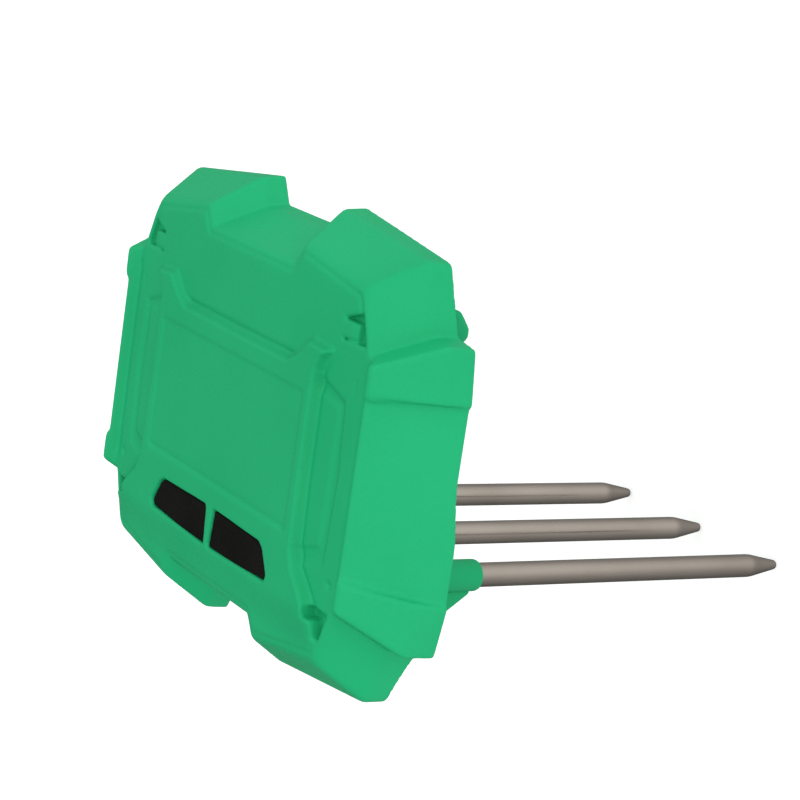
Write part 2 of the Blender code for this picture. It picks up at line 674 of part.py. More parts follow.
def main_board():
    board = plate("main_board", both_sides(BOARD_HALF), *BOARD_Z, BOARD)
    hole_z = BOARD_Z[0] - OVER, BOARD_Z[1] + OVER
    for i, at in enumerate(STANDOFF_XY):
        hole = f"board_hole_{i + 1}", STANDOFF_HOLE_RADIUS, *hole_z
        cut(board, cylinder(*hole, at, cutter=True, sides=12))
        screw(f"board_screw_{i + 1}", at, BOARD_Z[1] + GAP, 1, 1.05, 6.5)
    top = BOARD_Z[1] + GAP
    box("radio_module", (14.0, 34.0), (2.0, 18.0), (top, top + 2.6), STEEL)
    box("microcontroller", (-9.0, 1.0), (2.0, 12.0), (top, top + 1.4), BLACK_PLASTIC)
    cylinder("buffer_capacitor", 3.2, top, top + 5.4, (-22.0, 6.0), BLACK_PLASTIC)
    antenna(top)


def antenna(top):
    """A short whip coil lying along the upper edge of the board."""
    turns, steps, radius = 6, 8, 2.2
    centre_z = top + radius + 0.6
    points = []
    for i in range(turns * steps + 1):
        angle = 2 * math.pi * i / steps
        points.append((-9.0 + 18.0 * i / (turns * steps), 28.0 + radius * math.cos(angle),
                       centre_z + radius * math.sin(angle)))
    wire("antenna", points, 0.4, BRASS)


def battery_holder():
    holder = box("battery_holder", (-HOLDER_X, HOLDER_X), HOLDER_Y, HOLDER_Z, BLACK_PLASTIC)
    hollow_x = HOLDER_END - HOLDER_X, HOLDER_X - HOLDER_END
    hollow_y = HOLDER_Y[0] + HOLDER_SIDE, HOLDER_Y[1] - HOLDER_SIDE
    hollow_z = HOLDER_Z[0] + HOLDER_SIDE, HOLDER_Z[1] + OVER
    cut(holder, box("holder_hollow", hollow_x, hollow_y, hollow_z, cutter=True))


def battery_cells():
    """Three cells side by side; each is turned end for end from its neighbour."""
    for i, y in enumerate(CELL_Y):
        turn = 1 if i % 2 == 0 else -1
        half = CELL_LENGTH / 2
        profile = ((0.0, half), (2.6, half), (2.6, half - 1.2), (CELL_RADIUS - 0.5, half - 1.2),
                   (CELL_RADIUS, half - 1.7), (CELL_RADIUS, 0.5 - half), (CELL_RADIUS - 0.5, -half),
                   (0.0, -half))
        cell = lathe(f"battery_cell_{i + 1}", profile, material=CELL_SLEEVE)
        cell.rotation_euler = (0.0, turn * math.pi / 2, 0.0)
        cell.location = Vector((turn * CELL_SHIFT, y, CELL_Z)) * MM
        contact_spring(i + 1, turn, y)
    contact_plates()


def contact_spring(number, turn, y):
    """A conical spring on the flat end of a cell."""
    turns, steps = 3, 10
    start = CELL_SHIFT - CELL_LENGTH / 2 - 2 * GAP
    points = []
    for i in range(turns * steps + 1):
        angle = 2 * math.pi * i / steps
        share = i / (turns * steps)
        radius = 2.2 + 2.2 * share
        points.append((turn * (start - SPRING_LENGTH * share), y + radius * math.cos(angle),
                       CELL_Z + radius * math.sin(angle)))
    wire(f"contact_spring_{number}", points, 0.35, STEEL)


def contact_plates():
    """The end plates that join the cells in series."""
    thin = 0.4
    inner = HOLDER_X - HOLDER_END - GAP
    z = (HOLDER_Z[0] + 1.6, HOLDER_Z[1] + 2.0)
    near, middle, far = CELL_Y
    spans = {
        "contact_plate_plus": (1, (near - 5.0, near + 5.0)),
        "contact_plate_bridge_right": (1, (middle - 6.0, far + 6.0)),
        "contact_plate_bridge_left": (-1, (near - 6.0, middle + 6.0)),
        "contact_plate_minus": (-1, (far - 5.0, far + 5.0)),
    }
    for name, (sign, y) in spans.items():
        box(name, span((inner - thin, inner), sign), y, z, STEEL)


def battery_leads():
    top = BOARD_Z[0] - GAP - 0.8
    plus = ((30.6, -12.0, 12.0), (31.4, -12.0, 15.5), (31.4, -10.0, top))
    minus = ((-30.6, 18.0, 12.0), (-31.4, 16.0, 15.5), (-31.4, 12.0, top))
    wire("battery_lead_plus", plus, 0.7, RED)
    wire("battery_lead_minus", minus, 0.7, BLACK_RUBBER)


front_cover()
rear_housing()
housing_gasket()
for SIDE, X in PROBE_X.items():
    probe(SIDE, X)
button("left", -1)
button("right", 1)
button_retainer()
main_board()
battery_holder()
battery_cells()
battery_leads()
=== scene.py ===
"""Soil moisture sensor: the fine surfaces, the materials, the studio and the camera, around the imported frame.

Lengths are in millimetres, in the frame's axes: Z up out of the soil, Y towards the top of the face.
The two mouldings are signed distance fields, negative inside the plastic. They are sampled on a grid over
the right half, mirrored and meshed. Their walls, holes and most levels are cut from the frame's own nodes;
the relief of the face and the shapes of the posts, gussets and sockets are given here.
"""

import json
import math

import bmesh
import bpy
import numpy as np
from mathutils import Matrix, Vector
from mathutils.bvhtree import BVHTree


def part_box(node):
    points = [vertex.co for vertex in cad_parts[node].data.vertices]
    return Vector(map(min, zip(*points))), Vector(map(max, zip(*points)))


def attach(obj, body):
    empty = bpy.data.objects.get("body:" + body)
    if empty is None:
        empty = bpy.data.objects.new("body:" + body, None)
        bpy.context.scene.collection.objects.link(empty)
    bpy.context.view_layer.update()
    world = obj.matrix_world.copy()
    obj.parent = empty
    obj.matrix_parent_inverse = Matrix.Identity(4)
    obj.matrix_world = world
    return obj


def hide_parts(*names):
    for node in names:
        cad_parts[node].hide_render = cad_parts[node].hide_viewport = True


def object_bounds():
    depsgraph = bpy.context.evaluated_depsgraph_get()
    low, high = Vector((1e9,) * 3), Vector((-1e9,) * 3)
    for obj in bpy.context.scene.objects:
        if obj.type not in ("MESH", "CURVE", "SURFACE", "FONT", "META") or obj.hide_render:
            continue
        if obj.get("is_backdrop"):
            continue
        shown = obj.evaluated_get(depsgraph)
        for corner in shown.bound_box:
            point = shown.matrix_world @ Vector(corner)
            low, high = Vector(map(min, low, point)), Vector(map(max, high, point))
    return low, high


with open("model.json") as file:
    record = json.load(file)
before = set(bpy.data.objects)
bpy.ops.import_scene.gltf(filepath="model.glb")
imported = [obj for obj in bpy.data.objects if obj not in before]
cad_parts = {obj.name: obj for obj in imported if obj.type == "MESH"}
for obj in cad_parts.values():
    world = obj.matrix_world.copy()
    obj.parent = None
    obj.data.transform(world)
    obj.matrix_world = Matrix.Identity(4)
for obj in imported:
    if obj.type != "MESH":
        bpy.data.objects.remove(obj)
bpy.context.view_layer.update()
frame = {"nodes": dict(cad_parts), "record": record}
NODES = frame["nodes"]
MM = 0.001


# ---------------------------------------------------------------- measures of the frame

def box_mm(node):
    low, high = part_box(node)
    return np.array(low) / MM, np.array(high) / MM


def sections(node, z):
    """The closed outlines where a level plane cuts a CAD node, as arrays of x, y, largest first."""
    bm = bmesh.new()
    bm.from_mesh(NODES[node].data)
    bmesh.ops.remove_doubles(bm, verts=bm.verts, dist=1e-7)
    cut = bmesh.ops.bisect_plane(bm, geom=bm.verts[:] + bm.edges[:] + bm.faces[:], dist=1e-8,
                                 plane_co=(0, 0, z * MM), plane_no=(0, 0, 1))
    links = {}
    for edge in (e for e in cut["geom_cut"] if isinstance(e, bmesh.types.BMEdge)):
        for vert, other in (edge.verts, reversed(edge.verts)):
            links.setdefault(vert, []).append(other)
    loops = []
    while links:
        here, loop = next(iter(links)), []
        while here is not None:
            loop.append((here.co.x / MM, here.co.y / MM))
            ahead = [vert for vert in links.pop(here) if vert in links]
            here = ahead[0] if ahead else None
        loops.append(corners(np.array(loop)))
    bm.free()
    return sorted((loop for loop in loops if len(loop) > 2), key=lambda loop: -np.prod(np.ptp(loop, axis=0)))


def corners(loop, least_turn=12.0):
    """The points where an outline turns by more than some degrees."""
    before = loop - np.roll(loop, 1, axis=0)
    after = np.roll(loop, -1, axis=0) - loop
    turn = np.arctan2(before[:, 0] * after[:, 1] - before[:, 1] * after[:, 0], (before * after).sum(axis=1))
    return loop[np.abs(turn) > math.radians(least_turn)]


def near(loops, low, high):
    """The outlines whose middle lies in a rectangle."""
    middles = [(loop.min(axis=0) + loop.max(axis=0)) / 2 for loop in loops]
    return [loop for loop, mid in zip(loops, middles) if (mid > low).all() and (mid < high).all()]


def crossings(node, x, y):
    """The heights at which an upright line through x, y enters or leaves a CAD node, lowest first."""
    past_hit = Vector((0.0, 0.0, 1e-5))
    bm = bmesh.new()
    bm.from_mesh(NODES[node].data)
    tree = BVHTree.FromBMesh(bm)
    bm.free()
    heights, start = [], Vector((x, y, -500.0)) * MM
    while True:
        hit = tree.ray_cast(start, Vector((0.0, 0.0, 1.0)))[0]
        if hit is None:
            return heights
        heights.append(hit.z / MM)
        start = hit + past_hit


# ---------------------------------------------------------------- distance fields

def outline_distance(loops, x, y):
    """Signed distance from x, y to a region between closed outlines, negative inside it."""
    best = np.full(np.broadcast(x, y).shape, np.inf)
    inside = np.zeros(best.shape, bool)
    for loop in loops:
        for (ax, ay), (bx, by) in zip(loop, np.roll(loop, -1, axis=0)):
            ex, ey = bx - ax, by - ay
            share = np.clip(((x - ax) * ex + (y - ay) * ey) / max(ex * ex + ey * ey, 1e-12), 0.0, 1.0)
            best = np.minimum(best, (x - ax - share * ex) ** 2 + (y - ay - share * ey) ** 2)
            if abs(ey) > 1e-9:
                inside ^= ((ay > y) != (by > y)) & (x < ex * (y - ay) / ey + ax)
    distance = np.sqrt(best)
    return np.where(inside, -distance, distance)


def rounded(loop, radius_at):
    """An outline with each corner turned into a curve of about the radius that radius_at gives there."""
    points = []
    for before, here, after in zip(np.roll(loop, 1, axis=0), loop, np.roll(loop, -1, axis=0)):
        back, ahead = before - here, after - here
        lengths = np.hypot(*back), np.hypot(*ahead)
        cosine = np.clip(back @ ahead / (lengths[0] * lengths[1]), -1.0, 1.0)
        reach = min(radius_at(*here) / math.tan(math.acos(cosine) / 2), 0.45 * min(lengths))
        start, end = here + back / lengths[0] * reach, here + ahead / lengths[1] * reach
        for t in np.linspace(0.0, 1.0, 5):
            points.append((1 - t) ** 2 * start + 2 * t * (1 - t) * here + t ** 2 * end)
    return np.array(points)


def smooth_max(a, b, width):
    """The larger of two fields, with a fillet of about that width where they meet."""
    h = np.clip(0.5 + 0.5 * (a - b) / width, 0.0, 1.0)
    return b * (1 - h) + a * h + width * h * (1 - h)


def smooth_min(a, b, width):
    return -smooth_max(-a, -b, width)


def band(value, low, high):
    """Distance to the slab between two heights."""
    return np.abs(value - (low + high) / 2) - (high - low) / 2


def step(low, high, value):
    """0 below low, 1 above high, with a smooth rise between them."""
    t = np.clip((value - low) / (high - low), 0.0, 1.0)
    return t * t * (3 - 2 * t)


def ridge(distance, half_width):
    """1 on a line and 0 away from it."""
    return np.exp(-(distance / half_width) ** 2)


def blur(field, radius, pitch):
    """A Gaussian blur along every axis: flat faces keep their place, and edges are rounded."""
    reach = max(1, int(math.ceil(2.5 * radius / pitch)))
    taps = np.exp(-0.5 * (np.arange(-reach, reach + 1) * pitch / radius) ** 2)
    for axis in range(field.ndim):
        pad = [(reach, reach) if a == axis else (0, 0) for a in range(field.ndim)]
        wide = np.pad(field, pad, mode="reflect", reflect_type="odd")
        total = np.zeros_like(field)
        for i, tap in enumerate(taps / taps.sum()):
            total += tap * wide.take(range(i, i + field.shape[axis]), axis=axis)
        field = total
    return field


def grid(low, high, pitch):
    """Sample places: x from half a pitch off the mirror plane, y and z from just outside the box."""
    x = (np.arange(math.ceil(high[0] / pitch) + 3) + 0.5) * pitch
    y, z = (np.arange(low[axis] - 2 * pitch, high[axis] + 3 * pitch, pitch) for axis in (1, 2))
    return x, y, z


def surface_net(field, origin, pitch):
    """Vertices and quads of the zero surface of a field sampled on a regular grid."""
    inside = field < 0
    shape = np.array(field.shape) - 1
    offsets = [np.array((i, j, k)) for i in (0, 1) for j in (0, 1) for k in (0, 1)]
    count = np.zeros(tuple(shape), np.int8)
    for i, j, k in offsets:
        count += inside[i:i + shape[0], j:j + shape[1], k:k + shape[2]]
    cells = np.argwhere((count > 0) & (count < 8))
    number = np.full(tuple(shape), -1, np.int64)
    number[tuple(cells.T)] = np.arange(len(cells))
    total, hits = np.zeros((len(cells), 3)), np.zeros(len(cells))
    for near_end in offsets:
        for axis in np.flatnonzero(near_end == 0):
            along = np.eye(3)[axis]
            first = field[tuple((cells + near_end).T)]
            second = field[tuple((cells + near_end + along.astype(int)).T)]
            cross = (first < 0) != (second < 0)
            share = np.where(cross, first / np.where(cross, first - second, 1.0), 0.0)
            total += cross[:, None] * (near_end + share[:, None] * along)
            hits += cross
    quads = []
    for axis in range(3):
        u, v = (axis + 1) % 3, (axis + 2) % 3
        low = inside.take(range(shape[axis]), axis=axis)
        edges = np.argwhere(low != inside.take(range(1, shape[axis] + 1), axis=axis))
        edges = edges[(edges[:, [u, v]] > 0).all(axis=1) & (edges[:, [u, v]] < shape[[u, v]]).all(axis=1)]
        ring = []
        for du, dv in ((-1, -1), (0, -1), (0, 0), (-1, 0)):
            cell = edges.copy()
            cell[:, u] += du
            cell[:, v] += dv
            ring.append(number[tuple(cell.T)])
        faces = np.stack(ring, axis=1)
        inward = ~low[tuple(edges.T)]
        faces[inward] = faces[inward][:, ::-1]
        quads.append(faces)
    return origin + pitch * (cells + total / hits[:, None]), np.concatenate(quads)


def moulding(name, half, x, y, z, pitch, faces_kept):
    """Mirrors a half field, meshes it and thins the flat areas."""
    origin = np.array([-x[-1], y[0], z[0]])
    verts, faces = surface_net(np.concatenate([half[::-1], half]), origin, pitch)
    mesh = bpy.data.meshes.new(name)
    mesh.vertices.add(len(verts))
    mesh.vertices.foreach_set("co", (verts * MM).astype(np.float32).ravel())
    mesh.loops.add(faces.size)
    mesh.loops.foreach_set("vertex_index", faces.astype(np.int32).ravel())
    mesh.polygons.add(len(faces))
    mesh.polygons.foreach_set("loop_start", (np.arange(len(faces)) * 4).astype(np.int32))
    mesh.update(calc_edges=True)
    obj = bpy.data.objects.new(name, mesh)
    bpy.context.scene.collection.objects.link(obj)
    thin = obj.modifiers.new("thin", "DECIMATE")
    thin.ratio = min(1.0, faces_kept / (2 * len(faces)))
    bake_modifiers(obj)
    return obj


def bake_modifiers(obj):
    """Replaces an object's mesh by what its modifiers make of it, shaded smooth."""
    depsgraph = bpy.context.evaluated_depsgraph_get()
    obj.data = bpy.data.meshes.new_from_object(obj.evaluated_get(depsgraph))
    obj.modifiers.clear()
    obj.data.shade_smooth()


def dress(obj, body, node, slot):
    """Gives a piece its body and the material of a slot, and hides the node it stands for."""
    obj.data.materials.clear()
    obj.data.materials.append(MATERIALS[slot])
    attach(obj, body)
    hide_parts(node)


# ---------------------------------------------------------------- cover

EDGE_BLUR = 0.28            # softens the edges of both mouldings
COVER_PITCH = 0.42
COVER_GROWTH = 0.04         # outward offset after the blur
COVER_FACES = 196000
WALL = 2.4
LATCH_RIDGE = 1.1           # plastic left between a latch recess and the side of the shoulder
LOWER_RECESS_X = 48.2       # the lower recesses start here
TONGUE_X, TONGUE_HALF_X = 47.9, 3.7
TONGUES = ((33.15, 1.95), (-35.4, 2.0))             # middle and half width of each tongue along the face
COVER_LOW, COVER_HIGH = box_mm("front_cover")
FRAME_Z = COVER_HIGH[2] - 0.04
FACE_Z = COVER_HIGH[2] - 1.35
CEILING_Z = crossings("front_cover", 0.0, 0.0)[0]
LIP_Z = FACE_Z - 2.4        # a level through the windows and the latch recesses
PAD_Z, LATCH_FLOOR_Z = crossings("front_cover", 53.5, 33.5)[:2]
RIB_Z = crossings("front_cover", 52.4, 0.0)[0]
BOSS_Z = crossings("front_cover", 33.2, -26.8)[0]
SKIRT_Z = (16.9, 18.9)      # two levels on the straight skirt
DRAFT_Z = (25.0, 30.0)      # two levels on the drafted wall
WALL_LEVELS = 12            # outlines built over the cover's height
WALL_CREASE = 0.6           # fillet where the drafted wall meets the skirt
RIM = ((0.0, 16.4), (19.8, 16.2), (57.6, 15.4), (62.0, 13.8), (67.4, 12.4))    # rear rim height against |x|
RIM_DROP = 1.7              # how much further back the rim reaches along the lower half of each side

FRAME_OUTLINE = (
    (0.0, 21.0), (26.2, 21.2), (30.6, 23.6), (35.2, 27.6), (43.4, 27.1), (41.4, 24.8), (39.9, 22.0),
    (39.5, 18.5), (39.6, -1.5), (40.2, -20.2), (42.0, -24.2), (46.6, -28.4), (52.0, -34.0), (52.0, -60.0),
    (0.0, -60.0),
)
PANEL = (36.2, -17.0, 16.1)                         # half width, bottom and top
CROWN_X, CROWN_Y = (1.14, 51.8), (0.31, 43.5)       # the face's drop, at a distance from its middle
SIDE_RIM_RISE = 0.7
VALLEY_DEPTH = 0.5          # inside the side rims, and around the frame
GROOVE_DEPTH, GROOVE_HALF = 0.5, 0.6                # round each pad beside the frame
PAD_DROP = 0.1
FRAME_FLANK = 0.7           # half width of the frame's sloping side
PANEL_DEPTH, PANEL_GROOVE = 0.32, 0.25
BAR_HOLLOW_Y, BAR_HOLLOW_DEPTH = 22.3, 0.45
EDGE_LINE_INSET, EDGE_LINE_DEPTH = 1.6, 0.5
PIN_MARK, PIN_DEPTH = (54.5, -24.0), 0.8
LINE_MARK, LINE_DEPTH = (54.0, 21.6), 0.35
POCKET_OUTER = ((38.0, 21.2), (50.7, 17.3), (52.1, -0.2), (51.0, -20.4), (40.0, -22.9))
POCKET_INNER = ((39.2, 17.5), (48.9, 15.5), (49.2, -1.0), (48.6, -16.9), (39.1, -19.8))


def cover_corner_radius(x, y):
    """How far each edge of the cover that runs front to back is rounded."""
    if abs(y) > 38 and abs(x) > 46:
        return 2.4                                  # outer end of a shoulder
    if abs(y) > 42:
        return 0.9                                  # inner end of a shoulder
    return 0.35


def corner_lines(levels):
    """The cover's corners on two levels, paired, as places on the lower one and slopes against height."""
    loops = []
    for level in levels:
        loop = corners(sections("front_cover", level)[0], 30.0)
        ahead = np.roll(loop, -1, axis=0)
        if (loop[:, 0] * ahead[:, 1] - ahead[:, 0] * loop[:, 1]).sum() < 0:
            loop = loop[::-1]
        start = np.argmax(loop[:, 0] + 0.3 * loop[:, 1])
        loops.append(np.roll(loop, -start, axis=0))
    low, high = loops
    return low, (high - low) / (levels[1] - levels[0])


def cover_wall(x, y, z):
    """Flat distance to the cover's outline on every level: drafted walls and skirt, met in a crease."""
    walls = []
    for levels in (DRAFT_Z, SKIRT_Z):
        low, slope = corner_lines(levels)
        heights = np.linspace(z[0], z[-1], WALL_LEVELS)
        stack = []
        for height in heights:
            outline = rounded(low + slope * (height - levels[0]), cover_corner_radius)
            stack.append(outline_distance([outline], x, y))
        place = (z - heights[0]) / (heights[1] - heights[0])
        first = np.clip(place.astype(int), 0, len(heights) - 2)
        layers = [stack[i] * (i + 1 - t) + stack[i + 1] * (t - i) for i, t in zip(first, place)]
        walls.append(np.stack(layers, axis=2))
    return smooth_max(*walls, WALL_CREASE)


def mirrored_outline(half):
    """A closed outline from its right half, listed from the top to the bottom of the face."""
    return np.array(list(half) + [(-x, y) for x, y in reversed(half) if x > 0])


def face_height(x, y, edge):
    """Height of the face over the plan; edge is the flat distance to the face's own outline."""
    ay = np.abs(y)
    base = FACE_Z - CROWN_X[0] * (x / CROWN_X[1]) ** 2 - CROWN_Y[0] * (y / CROWN_Y[1]) ** 2
    # the side rims stand up again, with a valley inside them
    rise = step(58.6, 61.2, x) * (1 - step(28.0, 31.0, ay))
    valley = ridge(x - 58.2, 1.2) * (1 - step(24.0, 27.0, ay))
    height = base * (1 - rise) + (FACE_Z + SIDE_RIM_RISE) * rise - VALLEY_DEPTH * valley
    # a low pad beside the frame, in a groove
    outer = outline_distance([np.array(POCKET_OUTER)], x, y)
    inner = outline_distance([np.array(POCKET_INNER)], x, y)
    within = 1 - step(-GROOVE_HALF, GROOVE_HALF, outer)
    groove = within * step(-GROOVE_HALF, GROOVE_HALF, inner)
    height = height - GROOVE_DEPTH * groove - PAD_DROP * within
    # the raised frame, which fades into the lower edge of the face, and the panel in it
    frame_side = outline_distance([mirrored_outline(FRAME_OUTLINE)], x, y)
    fade = 1 - step(31.0, 42.0, -y)
    top = base + (FRAME_Z - base) * fade
    height = height + (top - height) * (1 - step(-FRAME_FLANK, FRAME_FLANK, frame_side))
    height = height - VALLEY_DEPTH * ridge(frame_side - 1.1, 0.6) * fade * (1 - step(20.0, 24.0, y))
    half_x, low_y, high_y = PANEL
    panel = np.maximum(x - half_x, np.maximum(low_y - y, y - high_y))
    height = height - PANEL_DEPTH * (1 - step(-0.5, 0.45, panel))
    height = height - PANEL_GROOVE * ridge(y - low_y - 0.4, 0.7) * (1 - step(half_x - 1.5, half_x, x))
    # a hollow along the top bar of the frame
    height = height - BAR_HOLLOW_DEPTH * ridge(y - BAR_HOLLOW_Y, 0.7) * (1 - step(26.0, 29.0, x))
    # a fine line inside the edge of the shoulders and of the grip notches
    height = height - EDGE_LINE_DEPTH * ridge(edge + EDGE_LINE_INSET, 0.45) * step(29.6, 32.5, ay)
    # moulding marks: a pin and a short line
    height = height - PIN_DEPTH * ridge(np.hypot(x - PIN_MARK[0], y - PIN_MARK[1]), 0.75)
    line = ridge(x - LINE_MARK[0], 0.35) * (1 - step(1.2, 2.0, np.abs(y - LINE_MARK[1])))
    return height - LINE_DEPTH * line


def front_cover():
    x, y, z = grid(COVER_LOW, COVER_HIGH, COVER_PITCH)
    flat = x[:, None], y[None, :]
    gx, gy, gz = x[:, None, None], y[None, :, None], z[None, None, :]
    wall = cover_wall(*flat, z)
    edge = wall[:, :, int(np.argmin(np.abs(z - FACE_Z + 1.2)))]
    height = face_height(*flat, edge)[:, :, None]
    rim = np.interp(x, *zip(*RIM))[:, None, None]
    rim = rim - RIM_DROP * step(56.0, 64.0, gx) * step(-4.0, 14.0, -gy)
    # the front edge is rounder on the shoulders and on the sides than in between
    lip = 0.8 + 1.4 * step(38.0, 44.0, np.abs(gy)) + 0.9 * (1 - step(20.0, 30.0, np.abs(gy)))
    shell = smooth_max(wall, (gz - height) * 0.92, lip)
    shell = smooth_max(shell, rim - gz, 0.5)
    cavity = smooth_max(wall + WALL, gz - CEILING_Z, 1.0)
    field = smooth_max(shell, -cavity, 0.3)
    holes = sections("front_cover", LIP_Z)[1:]

    def flat_field(loops):
        return outline_distance(loops, *flat)[:, :, None]

    # latch recesses, each in a pad, with its tongue left standing
    recesses = near(holes, (44.0, -40.0), (60.0, 40.0))
    recess = smooth_max(flat_field([rounded(loop, lambda *_: 0.3) for loop in recesses]),
                        edge[:, :, None] + LATCH_RIDGE, 0.4)
    recess = np.maximum(recess, np.where(gy < 0, LOWER_RECESS_X - gx, -9.0))
    pad = smooth_max(recess - 1.3, band(gz, PAD_Z, CEILING_Z + 1.0), 0.6)
    field = smooth_min(field, np.maximum(pad, wall + WALL / 2), 0.4)
    field = smooth_max(field, -smooth_max(recess, LATCH_FLOOR_Z - gz, 0.7), 0.45)
    for middle_y, half_y in TONGUES:
        tongue = smooth_max(np.abs(gx - TONGUE_X) - TONGUE_HALF_X, np.abs(gy - middle_y) - half_y, 0.3)
        tongue = smooth_max(tongue, np.maximum(gz - height + 0.25, LATCH_FLOOR_Z - 0.5 - gz), 0.4)
        field = smooth_min(field, tongue, 0.2)
    # windows of the buttons
    window = flat_field([rounded(loop, lambda *_: 0.9) for loop in near(holes, (0.0, -35.0), (32.0, -20.0))])
    field = smooth_max(field, -np.maximum(window, CEILING_Z - 3.0 - gz), 0.4)
    # inside: rib over the gasket, legs of the latches, bosses of the retainer
    rib = flat_field(sections("front_cover", (RIB_Z + BOSS_Z) / 2)[2:4])
    field = smooth_min(field, smooth_max(rib, band(gz, RIB_Z, CEILING_Z + 0.4), 0.3), 0.4)
    legs = flat_field(near(sections("front_cover", COVER_LOW[2] + 2.0), (0.0, -60.0), (70.0, 60.0)))
    field = smooth_min(field, smooth_max(legs, band(gz, COVER_LOW[2], PAD_Z + 0.4), 0.6), 0.5)
    boss = flat_field(near(sections("front_cover", BOSS_Z + 0.6), (30.0, -30.0), (40.0, -24.0)))
    field = smooth_min(field, smooth_max(boss, band(gz, BOSS_Z, CEILING_Z + 0.4), 0.3), 0.3)
    field = blur(field, EDGE_BLUR, COVER_PITCH) - COVER_GROWTH
    piece = moulding("front_cover_moulding", field, x, y, z, COVER_PITCH, COVER_FACES)
    dress(piece, "cover", "front_cover", "green_cover")


# ---------------------------------------------------------------- rear housing

HOUSING_PITCH = 0.45
HOUSING_GROWTH = 0.03
HOUSING_FACES = 190000
HOUSING_LOW, HOUSING_HIGH = box_mm("rear_housing")
FLANGE_Z = crossings("rear_housing", 60.0, 0.0)
FLOOR_TOP_Z = crossings("rear_housing", 20.0, 0.0)[1]
POST_Z = crossings("rear_housing", 53.2, 35.3)[0]
POST_XY = (50.0, 35.3)
POST_HALF = 4.1
FLARE_Z = 10.0
TUB_WALL = 2.4
SOCKET_PAD_Z = crossings("rear_housing", 32.6, -25.2)[-1]
STANDOFF_XY = (38.0, 20.0)
POCKET_FLOOR_Z = crossings("rear_housing", 49.8, 34.5)[1]
POCKETS = [loop for loop in near(sections("rear_housing", 12.0), (44.0, -40.0), (56.0, 40.0))
           if (np.ptp(loop, axis=0) < 6.0).all()]
GUSSET = ((-30.0, 1.0), (-43.2, 1.0), (-43.2, -8.6), (-34.8, -19.6), (-30.0, -19.6))     # y, z
GUSSET_THICKNESS = 3.0
SOCKET_PAD_RADIUS = 6.6
SOCKET_RADIUS = 3.95
SOCKET_BORE = 3.35
SOCKET_TOP_Z = 2.0
PROBES = ("probe_left", "probe_centre", "probe_right")


def middle_of(node):
    """The middle of a node in plan."""
    low, high = box_mm(node)
    return (low[:2] + high[:2]) / 2


def rear_housing():
    x, y, z = grid(HOUSING_LOW, HOUSING_HIGH, HOUSING_PITCH)
    flat = x[:, None], y[None, :]
    gx, gy, gz = x[:, None, None], y[None, :, None], z[None, None, :]

    def flat_field(loops, radius=1.5):
        return outline_distance([rounded(loop, lambda *_: radius) for loop in loops], *flat)[:, :, None]

    # tub: the flare from the floor to the straight wall, hollow inside
    floor, low, straight = (flat_field(sections("rear_housing", level)[:1], 3.0)
                            for level in (1.0, 9.0, 12.0))
    share = np.minimum(gz, FLARE_Z) - 1.0
    tub = np.minimum(floor + (low - floor) * share / 8.0, np.where(gz > FLARE_Z - 1.0, straight, 99.0))
    body = smooth_max(tub, band(gz, 0.0, HOUSING_HIGH[2]), 0.8)
    flange = flat_field(sections("rear_housing", sum(FLANGE_Z) / 2)[:1])
    body = smooth_min(body, smooth_max(flange, band(gz, *FLANGE_Z), 0.5), 1.0)
    # corner posts, square, with a long slope on the outer side of the end and a short one on the inner side
    across, along, height = gx - POST_XY[0], np.abs(gy) - POST_XY[1], gz - POST_Z
    post = smooth_max(np.abs(across) - POST_HALF, np.abs(along) - POST_HALF, 0.8)
    post = smooth_max(post, 0.587 * (along - 0.1) - 0.81 * height, 0.5)
    post = smooth_max(post, 0.707 * (-along - 2.1 - height), 0.5)
    body = smooth_min(body, smooth_max(post, band(gz, POST_Z, FLANGE_Z[1]), 0.5), 0.8)
    hollow = smooth_max(tub + TUB_WALL, FLOOR_TOP_Z - gz, 1.2)
    body = smooth_max(body, -hollow, 0.4)
    standoff = np.hypot(gx - STANDOFF_XY[0], np.abs(gy) - STANDOFF_XY[1])
    top = crossings("rear_housing", STANDOFF_XY[0] + 2.3, STANDOFF_XY[1])[-1]
    body = smooth_min(body, smooth_max(standoff - 3.2, band(gz, 1.0, top), 0.3), 0.8)
    # gussets and inner pads of the probe sockets
    for node in PROBES:
        px, py = middle_of(node)
        axis = np.hypot(gx - px, gy - py)
        side = outline_distance([np.array(GUSSET)], y[:, None], z[None, :])[None]
        gusset = smooth_max(side, np.abs(gx - px) - GUSSET_THICKNESS / 2, 0.7)
        body = smooth_min(body, gusset, 1.3)
        pad = smooth_max(axis - SOCKET_PAD_RADIUS, band(gz, 1.0, SOCKET_PAD_Z), 0.4)
        body = smooth_min(body, pad, 0.6)
        bore = np.minimum(axis - SOCKET_BORE - 0.3, np.maximum(axis - 4.75, SOCKET_TOP_Z + 0.6 - gz))
        body = smooth_max(body, -bore, 0.3)
    # holes: pockets of the posts and standoffs
    pocket = flat_field(POCKETS, 0.4)
    body = smooth_max(body, -smooth_max(pocket, POCKET_FLOOR_Z - gz, 0.4), 0.3)
    body = smooth_max(body, -np.maximum(standoff - 1.4, 11.9 - gz), 0.2)
    body = blur(body, EDGE_BLUR, HOUSING_PITCH) - HOUSING_GROWTH
    piece = moulding("rear_housing_moulding", body, x, y, z, HOUSING_PITCH, HOUSING_FACES)
    dress(piece, "housing", "rear_housing", "green_housing")


# ---------------------------------------------------------------- buttons, rods and seals

BUTTON_PITCH = 0.28
BUTTON_SOFTENING = 4        # smoothing passes
BUTTON_DISH = 0.25


